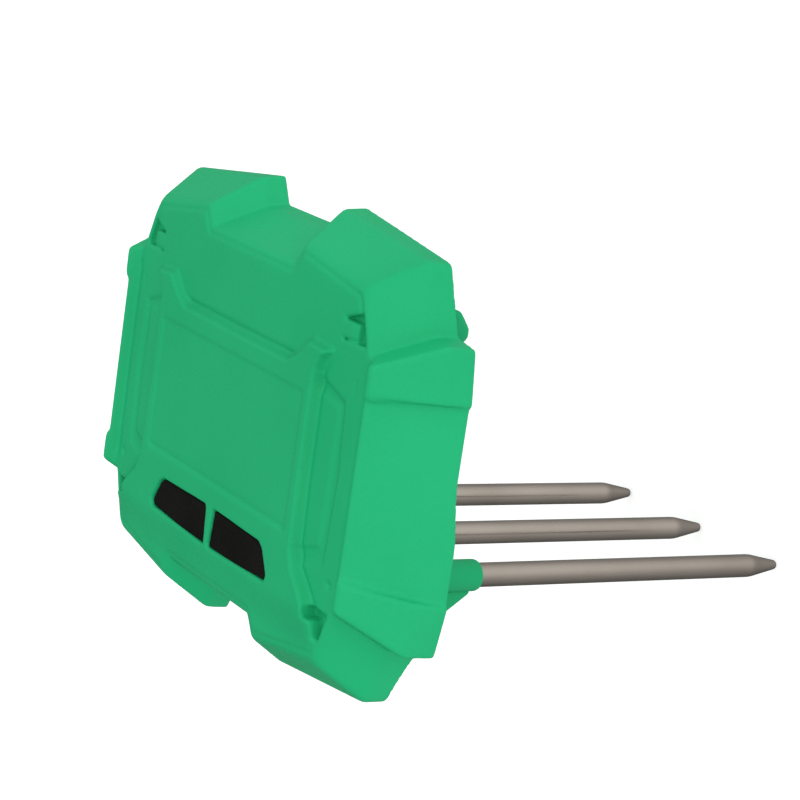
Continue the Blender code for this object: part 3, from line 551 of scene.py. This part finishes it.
def rounded_copy(node, name, pitch, passes):
    """A CAD node remeshed finely, with its edges softened."""
    obj = bpy.data.objects.new(name, NODES[node].data.copy())
    bpy.context.scene.collection.objects.link(obj)
    weld = obj.modifiers.new("weld", "WELD")
    weld.merge_threshold = 1e-7
    remesh = obj.modifiers.new("remesh", "REMESH")
    remesh.mode = "VOXEL"
    remesh.voxel_size = pitch * MM
    soften = obj.modifiers.new("soften", "SMOOTH")
    soften.factor = 0.5
    soften.iterations = passes
    bake_modifiers(obj)
    return obj


def dish(obj, depth):
    """Sinks the middle of a button's face a little, for a fingertip."""
    verts = obj.data.vertices
    places = np.empty(len(verts) * 3, np.float32)
    verts.foreach_get("co", places)
    places = places.reshape(-1, 3) / MM
    top = places[places[:, 2] > places[:, 2].max() - 0.3]
    middle, reach = (top.min(axis=0) + top.max(axis=0)) / 2, np.ptp(top, axis=0) / 2
    x, y = ((places - middle) / reach)[:, :2].T
    on_face = step(-2.2, -0.2, places[:, 2] - places[:, 2].max())
    places[:, 2] -= depth * on_face * np.clip(1 - x ** 2, 0, 1) * np.clip(1 - y ** 2, 0, 1)
    verts.foreach_set("co", (places * MM).astype(np.float32).ravel())
    obj.data.update()


def buttons():
    for side in ("left", "right"):
        node = f"button_{side}"
        cap = rounded_copy(node, f"{node}_cap", BUTTON_PITCH, BUTTON_SOFTENING)
        dress(cap, f"{side}_button", node, "button_rubber")
        dish(cap, BUTTON_DISH)


def turned(name, profile, at, sides=96, ring=False):
    """A shape turned from (radius, z) points about an upright axis at x, y, either capped or a ring."""
    bm = bmesh.new()
    rings = []
    for radius, z in profile:
        angles = np.arange(sides) * 2 * math.pi / sides
        rings.append([bm.verts.new(((at[0] + radius * math.cos(a)) * MM, (at[1] + radius * math.sin(a)) * MM,
                                    z * MM)) for a in angles])
    for upper, lower in zip(rings, rings[1:] + rings[:1] if ring else rings[1:]):
        for i in range(sides):
            j = (i + 1) % sides
            bm.faces.new((upper[i], lower[i], lower[j], upper[j]))
    if not ring:
        bm.faces.new(list(reversed(rings[0])))
        bm.faces.new(rings[-1])
    bmesh.ops.recalc_face_normals(bm, faces=bm.faces)
    mesh = bpy.data.meshes.new(name)
    bm.to_mesh(mesh)
    bm.free()
    mesh.shade_smooth()
    mesh.set_sharp_from_angle(angle=math.radians(30))
    obj = bpy.data.objects.new(name, mesh)
    bpy.context.scene.collection.objects.link(obj)
    return obj


def socket(node):
    """The round boss of the rear housing that holds a rod, a little wider at its root, with a soft end."""
    end, radius = HOUSING_LOW[2], SOCKET_RADIUS
    profile = [(SOCKET_BORE, SOCKET_TOP_Z), (radius + 0.3, SOCKET_TOP_Z), (radius + 0.3, -1.0)]
    profile += [(radius, -3.0), (radius, end + 1.4)]
    for angle in np.linspace(0.2, math.pi / 2, 6):
        profile.append((radius - 0.5 * (1 - math.cos(angle)), end + 1.4 - 1.4 * math.sin(angle)))
    profile += [(SOCKET_BORE, end), (SOCKET_BORE, (end + SOCKET_TOP_Z) / 2)]
    piece = turned(f"{node}_socket", profile, middle_of(node), ring=True)
    dress(piece, "housing", "rear_housing", "green_housing")


def rod(node):
    """A ground steel rod: a threaded stud inside, a straight shank and a rounded conical point."""
    low, high = box_mm(node)
    radius = (high[0] - low[0]) / 2
    tip_radius, cone, blend, nose = 1.2, 9.2, 1.2, 0.9
    profile = [(0.02, high[2]), (2.0, high[2]), (2.5, high[2] - 0.5)]
    thread = np.arange(high[2] - 1.0, 11.0, -0.25)
    profile += [(2.5 - 0.28 * (i % 2), z) for i, z in enumerate(thread)]
    profile += [(2.5, 10.8), (2.5, 5.1), (2.8, 5.0), (radius, 4.8)]
    shoulder = low[2] + cone
    slope = (radius - tip_radius) / (cone - 0.4)
    for t in np.linspace(-1.0, 1.0, 9):
        profile.append((radius - slope * blend * (t + 1) ** 2 / 4, shoulder - t * blend))
    end, end_radius = low[2] + nose, tip_radius + slope * 0.5
    profile.append((end_radius, end))
    for angle in np.linspace(0.15, math.pi / 2, 8):
        profile.append((end_radius - nose * (1 - math.cos(angle)) - 0.02, end - nose * math.sin(angle)))
    profile.append((0.02, low[2] + 0.001))
    dress(turned(f"{node}_rod", profile, middle_of(node)), "housing", node, "probe_steel")


# ---------------------------------------------------------------- materials

def add_node(material, kind, **inputs):
    node = material.node_tree.nodes.new(kind)
    for key, value in inputs.items():
        node.inputs[key.replace("_", " ")].default_value = value
    return node


def connect(material, source, target):
    material.node_tree.links.new(source, target)


def shader_of(material):
    return material.node_tree.nodes["Principled BSDF"]


def new_material(name, colour, roughness, metallic=0.0, specular=0.5):
    material = bpy.data.materials.new(name)
    material.use_nodes = True
    shader = shader_of(material)
    shader.inputs["Base Color"].default_value = (*colour, 1.0)
    shader.inputs["Roughness"].default_value = roughness
    shader.inputs["Metallic"].default_value = metallic
    shader.inputs["Specular IOR Level"].default_value = specular
    return material


def noise(material, scale, stretch=(1.0, 1.0, 1.0)):
    """A noise over the object's own coordinates, finer where stretch is larger."""
    coordinates = add_node(material, "ShaderNodeTexCoord")
    mapping = add_node(material, "ShaderNodeMapping", Scale=stretch)
    texture = add_node(material, "ShaderNodeTexNoise", Scale=scale, Detail=3.0)
    connect(material, coordinates.outputs["Object"], mapping.inputs["Vector"])
    connect(material, mapping.outputs["Vector"], texture.inputs["Vector"])
    return texture.outputs["Fac"]


def ramp(material, factor, stops, socket):
    """Drives a socket of the shader from a factor; a stop is (position, grey or colour)."""
    node = add_node(material, "ShaderNodeValToRGB")
    for element, (position, value) in zip(node.color_ramp.elements, stops):
        element.position = position
        element.color = (*value, 1.0) if isinstance(value, tuple) else (value, value, value, 1.0)
    connect(material, factor, node.inputs["Fac"])
    connect(material, node.outputs["Color"], shader_of(material).inputs[socket])


def bump(material, height, distance):
    node = add_node(material, "ShaderNodeBump", Distance=distance, Strength=0.6)
    connect(material, height, node.inputs["Height"])
    connect(material, node.outputs["Normal"], shader_of(material).inputs["Normal"])


def surface(name, dark, light, roughness, patch_scale, grain_scale, depth, metallic=0.0, specular=0.5,
            stretch=(1.0, 1.0, 1.0)):
    """Colour that drifts between two tones, and a fine grain that drives roughness and relief."""
    material = new_material(name, light, roughness[0], metallic, specular)
    ramp(material, noise(material, patch_scale), ((0.3, dark), (0.7, light)), "Base Color")
    grain = noise(material, grain_scale, stretch)
    ramp(material, grain, ((0.35, roughness[0]), (0.65, roughness[1])), "Roughness")
    bump(material, grain, depth * MM)
    return material


def green_plastic(name, dark, light):
    """Spark-eroded thermoplastic: matt, with a fine even grain."""
    return surface(name, dark, light, (0.46, 0.62), 26.0, 1300.0, 0.12, specular=0.13)


MATERIALS = {
    "green_cover": green_plastic("green_cover_plastic", (0.007, 0.350, 0.136), (0.010, 0.376, 0.149)),
    "green_housing": green_plastic("green_housing_plastic", (0.006, 0.315, 0.120),
                                   (0.009, 0.335, 0.130)),
    "button_rubber": surface("button_rubber", (0.0035, 0.0035, 0.003), (0.006, 0.006, 0.005), (0.6, 0.8),
                             60.0, 1500.0, 0.05, specular=0.05),
    "seal_rubber": surface("seal_rubber", (0.010, 0.010, 0.010), (0.018, 0.018, 0.018), (0.6, 0.85), 80.0,
                           900.0, 0.05, specular=0.3),
    "probe_steel": surface("probe_steel", (0.51, 0.45, 0.39), (0.60, 0.535, 0.47), (0.20, 0.32), 40.0, 700.0,
                           0.02, metallic=1.0, stretch=(1.0, 1.0, 0.04)),
    "fastener_steel": surface("fastener_steel", (0.42, 0.42, 0.41), (0.58, 0.58, 0.56), (0.22, 0.4), 200.0,
                              1400.0, 0.01, metallic=1.0),
    "contact_metal": surface("contact_metal", (0.52, 0.50, 0.46), (0.66, 0.65, 0.61), (0.18, 0.34), 200.0,
                             1200.0, 0.01, metallic=1.0, stretch=(0.1, 1.0, 1.0)),
    "brass": surface("brass", (0.55, 0.36, 0.12), (0.72, 0.52, 0.22), (0.25, 0.42), 160.0, 900.0, 0.01,
                     metallic=1.0),
    "circuit_board": surface("circuit_board", (0.004, 0.07, 0.035), (0.008, 0.13, 0.06), (0.28, 0.42), 420.0,
                             1800.0, 0.02),
    "black_plastic": surface("black_plastic", (0.010, 0.010, 0.010), (0.020, 0.020, 0.020), (0.42, 0.6), 50.0,
                             1300.0, 0.04),
    "cell_sleeve": surface("cell_sleeve", (0.10, 0.105, 0.11), (0.19, 0.20, 0.21), (0.22, 0.36), 70.0, 600.0,
                           0.01),
    "red_insulation": surface("red_insulation", (0.34, 0.008, 0.008), (0.50, 0.020, 0.018), (0.4, 0.55), 90.0,
                              900.0, 0.02),
    "black_insulation": surface("black_insulation", (0.008, 0.008, 0.008), (0.02, 0.02, 0.02), (0.4, 0.55),
                                90.0, 900.0, 0.02),
}


def finish_nodes():
    """Every CAD node that stays in view gets its slot's material."""
    for part in frame["record"]["subparts"]:
        mesh = NODES[part["node"]].data
        mesh.materials.clear()
        mesh.materials.append(MATERIALS[part["material_slot"]])


# ---------------------------------------------------------------- studio

FLOOR_HALF_SIZE = 6.0       # metres, as everything in the studio
FLOOR_GAP = 0.0005
FLOOR_GLOW = 0.45
KEY_PLACE, KEY_SIZE, KEY_POWER = (1.3, 0.1, 0.8), 0.7, 3.0
WORLD_STRENGTH = 1.35
BRIGHT_AZIMUTH, BRIGHT_ELEVATION = 46.0, 43.0       # degrees
SKY = ((0.0, 0.08), (0.40, 0.28), (0.62, 0.56), (0.85, 1.0))    # grey against nearness to the bright side
CAMERA_PLACE = (0.4998, 0.1360, 0.3106)
CAMERA_FORWARD, CAMERA_UP = (-0.8195, -0.2154, -0.5311), (-0.2598, 0.9656, 0.0092)
CAMERA_LENS, CAMERA_SENSOR = 110.26, 36.0


def studio_floor():
    """A pale floor with a faint glow, just under the tips of the rods, left out of reflections."""
    bm = bmesh.new()
    bmesh.ops.create_grid(bm, x_segments=4, y_segments=4, size=FLOOR_HALF_SIZE)
    mesh = bpy.data.meshes.new("studio_floor")
    bm.to_mesh(mesh)
    bm.free()
    floor = bpy.data.objects.new("studio_floor", mesh)
    bpy.context.scene.collection.objects.link(floor)
    floor.location.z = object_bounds()[0].z - FLOOR_GAP
    material = new_material("studio_floor_white", (0.75, 0.75, 0.75), 0.9)
    shader_of(material).inputs["Emission Color"].default_value = (1.0, 1.0, 1.0, 1.0)
    shader_of(material).inputs["Emission Strength"].default_value = FLOOR_GLOW
    mesh.materials.append(material)
    floor.visible_glossy = False
    floor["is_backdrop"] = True


def key_softbox():
    """One large soft light, turned to the middle of the frame."""
    light = bpy.data.lights.new("key_softbox", "AREA")
    light.shape = "DISK"
    light.size = KEY_SIZE
    light.energy = KEY_POWER
    lamp = bpy.data.objects.new("key_softbox", light)
    bpy.context.scene.collection.objects.link(lamp)
    lamp.location = KEY_PLACE
    lamp.rotation_euler = (-Vector(KEY_PLACE)).to_track_quat("-Z", "Y").to_euler()


def studio_world():
    """A grey room that brightens towards one side, above and to the right of the top of the face."""
    world = bpy.data.worlds.new("studio_world")
    bpy.context.scene.world = world
    world.use_nodes = True
    background = world.node_tree.nodes["Background"]
    background.inputs["Strength"].default_value = WORLD_STRENGTH
    azimuth, elevation = math.radians(BRIGHT_AZIMUTH), math.radians(BRIGHT_ELEVATION)
    bright_side = Vector((math.cos(elevation) * math.cos(azimuth), math.cos(elevation) * math.sin(azimuth),
                          math.sin(elevation)))
    coordinates = world.node_tree.nodes.new("ShaderNodeTexCoord")
    mapping = world.node_tree.nodes.new("ShaderNodeMapping")
    mapping.vector_type = "TEXTURE"
    mapping.inputs["Location"].default_value = -bright_side
    mapping.inputs["Rotation"].default_value = (0.0, -elevation, azimuth)
    mapping.inputs["Scale"].default_value = (2.0, 2.0, 2.0)
    gradient = world.node_tree.nodes.new("ShaderNodeTexGradient")
    fade = world.node_tree.nodes.new("ShaderNodeValToRGB")
    while len(fade.color_ramp.elements) < len(SKY):
        fade.color_ramp.elements.new(1.0)
    for element, (position, grey) in zip(fade.color_ramp.elements, SKY):
        element.position = position
        element.color = (grey, grey, grey, 1.0)
    links = world.node_tree.links
    links.new(coordinates.outputs["Generated"], mapping.inputs["Vector"])
    links.new(mapping.outputs["Vector"], gradient.inputs["Vector"])
    links.new(gradient.outputs["Fac"], fade.inputs["Fac"])
    links.new(fade.outputs["Color"], background.inputs["Color"])


def camera():
    """A long lens from the upper right of the face, with the top of the face up."""
    data = bpy.data.cameras.new("camera")
    data.lens = CAMERA_LENS
    data.sensor_width = CAMERA_SENSOR
    obj = bpy.data.objects.new("camera", data)
    bpy.context.scene.collection.objects.link(obj)
    forward = Vector(CAMERA_FORWARD).normalized()
    right = forward.cross(Vector(CAMERA_UP)).normalized()
    up = right.cross(forward)
    turn = Matrix((right, up, -forward)).transposed().to_4x4()
    obj.matrix_world = Matrix.Translation(CAMERA_PLACE) @ turn
    data.clip_start, data.clip_end = 0.01, 30.0
    bpy.context.scene.camera = obj


finish_nodes()
front_cover()
rear_housing()
buttons()
for PROBE in PROBES:
    rod(PROBE)
for PROBE in PROBES:
    socket(PROBE)
studio_floor()
studio_world()
key_softbox()
camera()
bpy.context.scene.view_settings.view_transform = "Standard"
